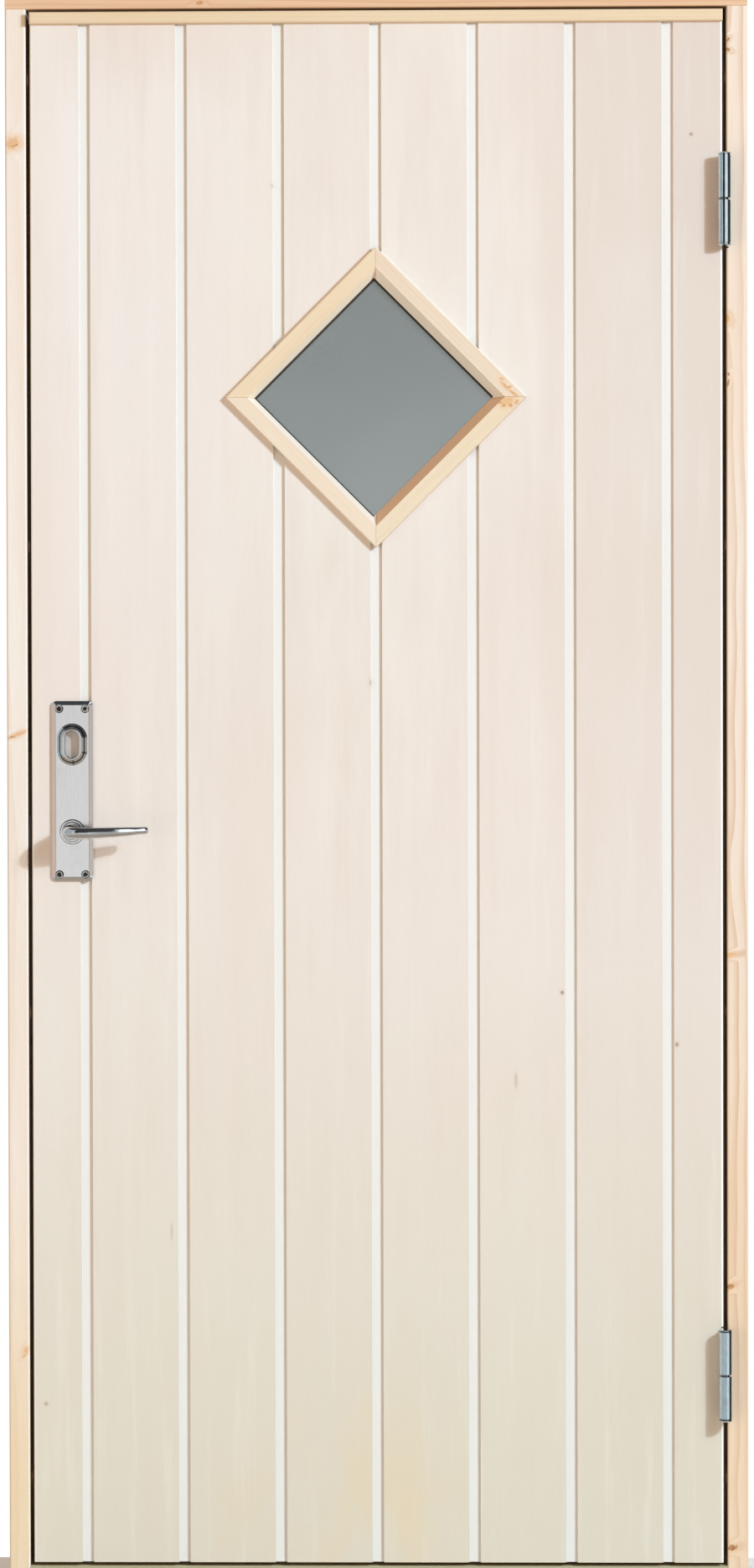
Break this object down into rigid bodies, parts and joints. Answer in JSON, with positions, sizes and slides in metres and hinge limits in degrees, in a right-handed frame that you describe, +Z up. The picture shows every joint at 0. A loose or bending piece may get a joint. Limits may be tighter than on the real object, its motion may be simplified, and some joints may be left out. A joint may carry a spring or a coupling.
{
  "type": "shed door",
  "caption": "Outward-opening grooved timber shed door in its frame, with a diamond window, lift-off hinges, a long lock plate and lever handles.",
  "frame": {"origin": "centre of the threshold's underside, half way through the frame's depth", "axes": "+X to the right and +Y into the building as seen from outside, +Z up"},
  "size_m": [0.885, 0.1538, 1.9054],
  "materials": {
    "frame_pine": "bare planed pine with knots",
    "threshold_wood": "bare planed wood",
    "painted_board": "thin pale primer, slightly stained towards the foot",
    "core_pine": "bare sawn pine",
    "batten_pine": "bare planed pine",
    "moulding_pine": "bare planed pine",
    "lining_pine": "bare planed pine",
    "window_glass": "clear, grey reflection",
    "black_tape": "matt",
    "satin_nickel": "satin",
    "screw_steel": "darkened",
    "lock_steel": "zinc plated",
    "polished_chrome": "polished",
    "zinc_steel": "bright zinc plated"
  },
  "bodies": {
    "frame": {"head_jamb": "frame_pine", "hinge_jamb": "frame_pine", "lock_jamb": "frame_pine", "door_stops": "frame_pine", "threshold": "threshold_wood", "strike_plate": "lock_steel", "upper_hinge_frame_half": "zinc_steel", "lower_hinge_frame_half": "zinc_steel"},
    "leaf": {"outer_panel": "painted_board", "inner_panel": "painted_board", "hinge_stile": "core_pine", "lock_stile": "core_pine", "top_rail": "core_pine", "bottom_rail": "core_pine", "top_batten": "batten_pine", "outer_moulding_upper_left": "moulding_pine", "outer_moulding_upper_right": "moulding_pine", "outer_moulding_lower_right": "moulding_pine", "outer_moulding_lower_left": "moulding_pine", "inner_moulding_upper_left": "moulding_pine", "inner_moulding_upper_right": "moulding_pine", "inner_moulding_lower_right": "moulding_pine", "inner_moulding_lower_left": "moulding_pine", "window_lining_upper_left": "lining_pine", "window_lining_upper_right": "lining_pine", "window_lining_lower_right": "lining_pine", "window_lining_lower_left": "lining_pine", "window_glass": "window_glass", "glazing_tape": "black_tape", "outer_lock_plate": "satin_nickel", "inner_lock_plate": "satin_nickel", "outer_oval_ring": "satin_nickel", "inner_oval_ring": "satin_nickel", "outer_cylinder_blank": "satin_nickel", "inner_cylinder_blank": "satin_nickel", "outer_plate_screws": "screw_steel", "inner_plate_screws": "screw_steel", "lock_forend": "lock_steel", "lock_case": "lock_steel", "latch_bolt": "lock_steel", "upper_hinge_leaf_half": "zinc_steel", "lower_hinge_leaf_half": "zinc_steel"},
    "lever": {"outer_lever": "polished_chrome", "inner_lever": "polished_chrome", "spindle": "lock_steel"}
  },
  "joints": [
    {"name": "door_swing", "type": "hinge", "parent": "frame", "child": "leaf", "pos_m": [0.4136, -0.065, 0.95], "axis": [0, 0, 1], "range_deg": [0, 170]},
    {"name": "lever_turn", "type": "hinge", "parent": "leaf", "child": "lever", "pos_m": [-0.3637, -0.029, 0.8985], "axis": [0, 1, 0], "range_deg": [0, 38], "stiffness_Nm_per_rad": 0.9, "springref_deg": -28.65}
  ]
}
